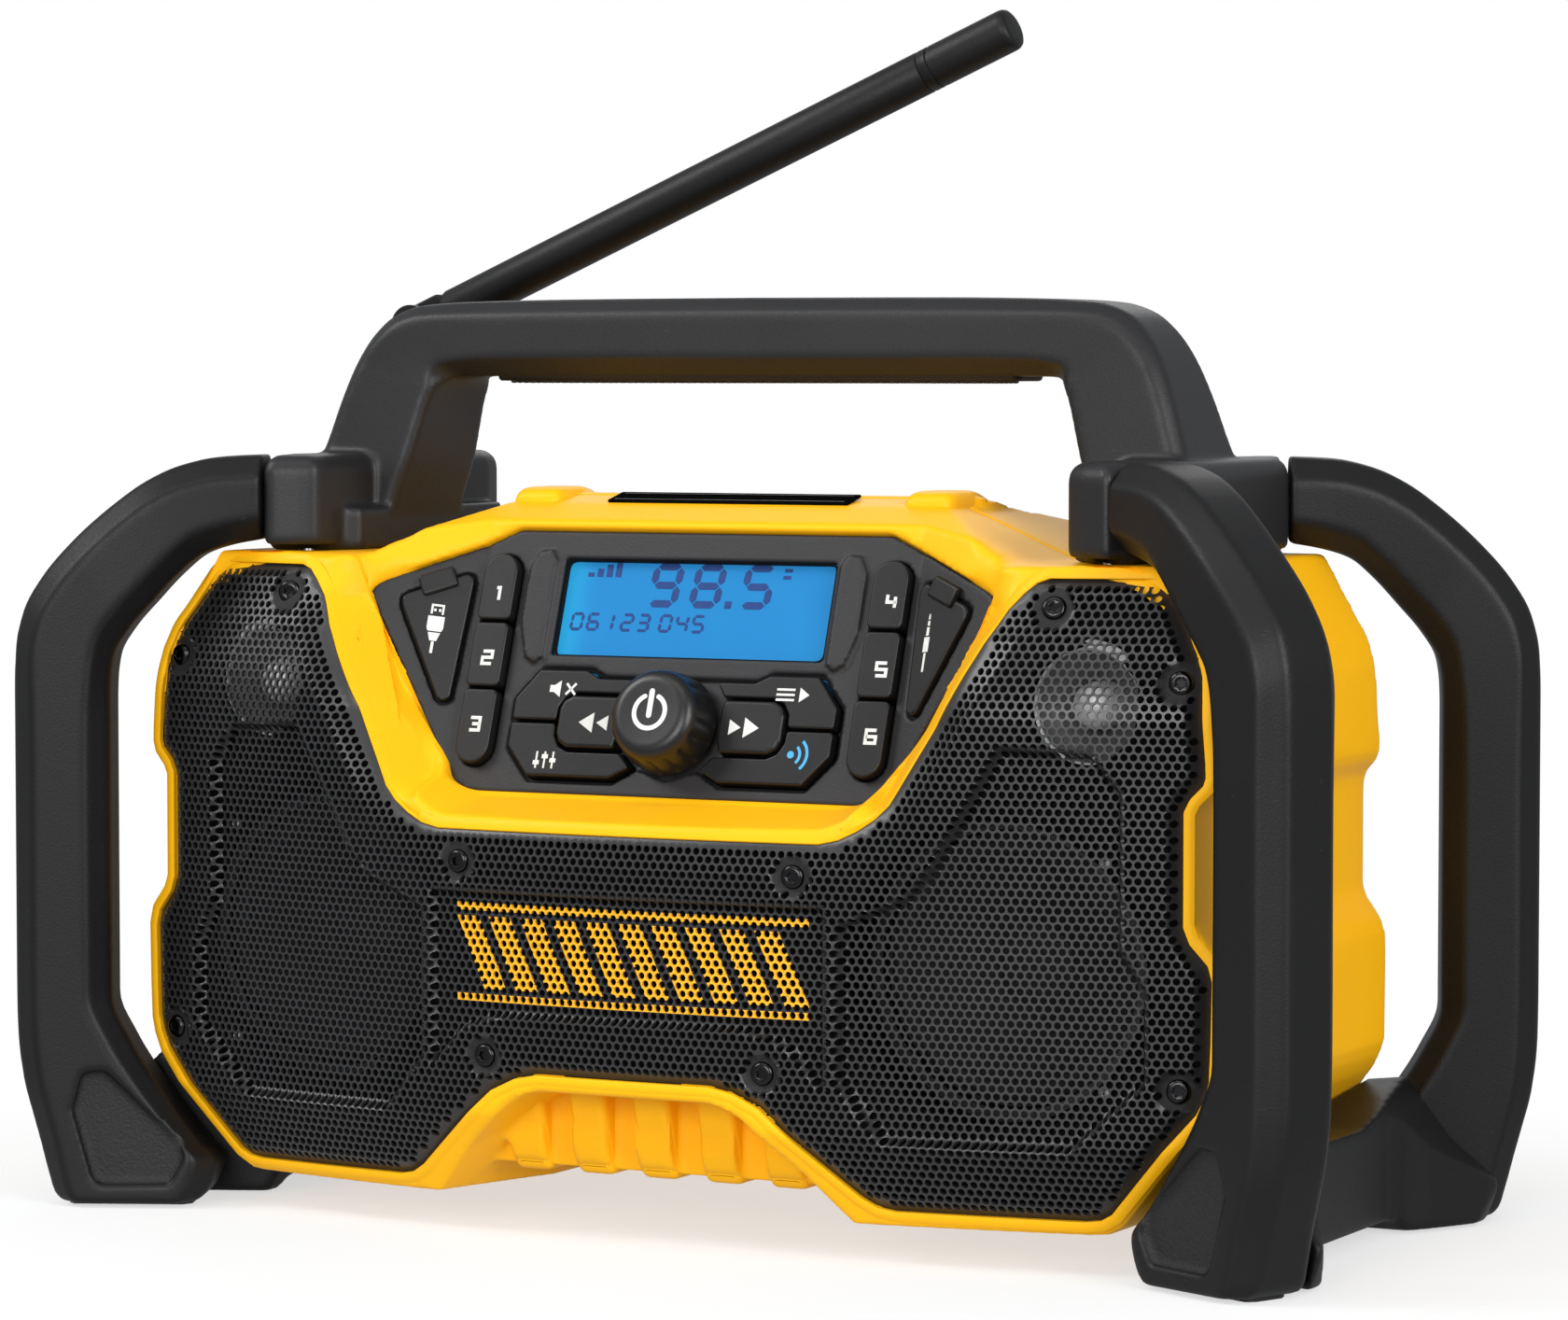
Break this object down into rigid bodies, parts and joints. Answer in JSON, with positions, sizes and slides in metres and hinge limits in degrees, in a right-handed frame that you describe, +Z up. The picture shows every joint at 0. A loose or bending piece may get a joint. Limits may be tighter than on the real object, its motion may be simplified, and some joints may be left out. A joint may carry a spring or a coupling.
{
  "type": "jobsite radio",
  "caption": "Rugged stereo radio with a leaning control panel, perforated speaker grille, roll cage with carrying handle and a folding antenna.",
  "frame": {"origin": "centre of the ground footprint, at the underside of the four foot pads", "axes": "+Z up, -Y the front with the speakers and the control panel, +X to the right of someone facing the front"},
  "size_m": [0.4052, 0.1934, 0.3417],
  "materials": {
    "yellow_shell": "satin moulded",
    "grille_metal": "satin black on perforated sheet",
    "panel_plastic": "fine grain",
    "clear_lens": "polished",
    "blue_display": "back-lit blue",
    "rubber": "matt",
    "key_plastic": "satin",
    "steel": "plated",
    "white_plastic": "moulded",
    "metal_grey": "satin",
    "circuit_board": "solder mask",
    "inner_plastic": "moulded",
    "paper_cone": "coated paper",
    "silver": "satin",
    "black_screw": "black zinc",
    "black_frame": "fine grain",
    "antenna_rubber": "smooth",
    "label_black": "printed film"
  },
  "bodies": {
    "radio": {"front_housing": "yellow_shell", "rear_housing": "yellow_shell", "front_grille": "grille_metal", "control_panel": "panel_plastic", "display_lens": "clear_lens", "lcd_module": "blue_display", "key_membrane": "rubber", "encoder_body": "metal_grey", "panel_board": "circuit_board", "usb_socket": "steel", "aux_jack": "inner_plastic", "main_board": "circuit_board", "board_screws": "steel", "left_woofer_frame": "metal_grey", "right_woofer_frame": "metal_grey", "left_woofer_cone": "paper_cone", "right_woofer_cone": "paper_cone", "left_woofer_magnet": "metal_grey", "right_woofer_magnet": "metal_grey", "left_tweeter_frame": "silver", "right_tweeter_frame": "silver", "left_tweeter_dome": "silver", "right_tweeter_dome": "silver", "speaker_screws": "steel", "grille_screws": "black_screw", "housing_screws": "black_screw", "handle_frame": "black_frame", "handle_grip": "rubber", "frame_screws": "steel", "front_left_leg": "black_frame", "front_right_leg": "black_frame", "rear_left_leg": "black_frame", "rear_right_leg": "black_frame", "left_lower_rail": "black_frame", "right_lower_rail": "black_frame", "foot_pads": "rubber", "antenna_base": "black_frame", "antenna_pin": "steel", "battery_terminals": "inner_plastic", "dc_jack": "inner_plastic", "top_strip": "label_black"},
    "plunger": {"encoder_plunger": "white_plastic"},
    "knob": {"volume_knob": "key_plastic", "encoder_shaft": "steel"},
    "usb_flap": {"usb_door": "rubber"},
    "aux_flap": {"aux_door": "rubber"},
    "antenna": {"antenna_rod": "antenna_rubber", "antenna_cap": "antenna_rubber"},
    "preset_1_body": {"preset_1": "key_plastic"},
    "preset_2_body": {"preset_2": "key_plastic"},
    "preset_3_body": {"preset_3": "key_plastic"},
    "preset_4_body": {"preset_4": "key_plastic"},
    "preset_5_body": {"preset_5": "key_plastic"},
    "preset_6_body": {"preset_6": "key_plastic"},
    "upper_left_key_body": {"upper_left_key": "key_plastic"},
    "lower_left_key_body": {"lower_left_key": "key_plastic"},
    "upper_right_key_body": {"upper_right_key": "key_plastic"},
    "lower_right_key_body": {"lower_right_key": "key_plastic"},
    "skip_back_key_body": {"skip_back_key": "key_plastic"},
    "skip_forward_key_body": {"skip_forward_key": "key_plastic"}
  },
  "joints": [
    {"name": "knob_press", "type": "slide", "parent": "radio", "child": "plunger", "axis": [0, 0.9455, -0.3256], "range_m": [0, 0.001], "stiffness_N_per_m": 2500, "springref_m": -0.0008},
    {"name": "knob_turn", "type": "hinge", "parent": "plunger", "child": "knob", "pos_m": [0, -0.05921, 0.14137], "axis": [0, -0.9455, 0.3256], "continuous": true},
    {"name": "preset_1_press", "type": "slide", "parent": "radio", "child": "preset_1_body", "axis": [0, 0.9455, -0.3256], "range_m": [0, 0.0009], "stiffness_N_per_m": 1500, "springref_m": -0.0006},
    {"name": "preset_2_press", "type": "slide", "parent": "radio", "child": "preset_2_body", "axis": [0, 0.9455, -0.3256], "range_m": [0, 0.0009], "stiffness_N_per_m": 1500, "springref_m": -0.0006},
    {"name": "preset_3_press", "type": "slide", "parent": "radio", "child": "preset_3_body", "axis": [0, 0.9455, -0.3256], "range_m": [0, 0.0009], "stiffness_N_per_m": 1500, "springref_m": -0.0006},
    {"name": "preset_4_press", "type": "slide", "parent": "radio", "child": "preset_4_body", "axis": [0, 0.9455, -0.3256], "range_m": [0, 0.0009], "stiffness_N_per_m": 1500, "springref_m": -0.0006},
    {"name": "preset_5_press", "type": "slide", "parent": "radio", "child": "preset_5_body", "axis": [0, 0.9455, -0.3256], "range_m": [0, 0.0009], "stiffness_N_per_m": 1500, "springref_m": -0.0006},
    {"name": "preset_6_press", "type": "slide", "parent": "radio", "child": "preset_6_body", "axis": [0, 0.9455, -0.3256], "range_m": [0, 0.0009], "stiffness_N_per_m": 1500, "springref_m": -0.0006},
    {"name": "upper_left_key_press", "type": "slide", "parent": "radio", "child": "upper_left_key_body", "axis": [0, 0.9455, -0.3256], "range_m": [0, 0.0009], "stiffness_N_per_m": 1500, "springref_m": -0.0006},
    {"name": "lower_left_key_press", "type": "slide", "parent": "radio", "child": "lower_left_key_body", "axis": [0, 0.9455, -0.3256], "range_m": [0, 0.0009], "stiffness_N_per_m": 1500, "springref_m": -0.0006},
    {"name": "upper_right_key_press", "type": "slide", "parent": "radio", "child": "upper_right_key_body", "axis": [0, 0.9455, -0.3256], "range_m": [0, 0.0009], "stiffness_N_per_m": 1500, "springref_m": -0.0006},
    {"name": "lower_right_key_press", "type": "slide", "parent": "radio", "child": "lower_right_key_body", "axis": [0, 0.9455, -0.3256], "range_m": [0, 0.0009], "stiffness_N_per_m": 1500, "springref_m": -0.0006},
    {"name": "skip_back_key_press", "type": "slide", "parent": "radio", "child": "skip_back_key_body", "axis": [0, 0.9455, -0.3256], "range_m": [0, 0.0009], "stiffness_N_per_m": 1500, "springref_m": -0.0006},
    {"name": "skip_forward_key_press", "type": "slide", "parent": "radio", "child": "skip_forward_key_body", "axis": [0, 0.9455, -0.3256], "range_m": [0, 0.0009], "stiffness_N_per_m": 1500, "springref_m": -0.0006},
    {"name": "usb_flap_hinge", "type": "hinge", "parent": "radio", "child": "usb_flap", "pos_m": [-0.07001, -0.05328, 0.16366], "axis": [0, 0.3256, 0.9455], "range_deg": [0, 110]},
    {"name": "aux_flap_hinge", "type": "hinge", "parent": "radio", "child": "aux_flap", "pos_m": [0.07001, -0.05328, 0.16366], "axis": [0, -0.3256, -0.9455], "range_deg": [0, 110]},
    {"name": "antenna_fold", "type": "hinge", "parent": "radio", "child": "antenna", "pos_m": [-0.134, 0.03, 0.2526], "axis": [0, -1, 0], "range_deg": [-23.2, 66.8]}
  ]
}
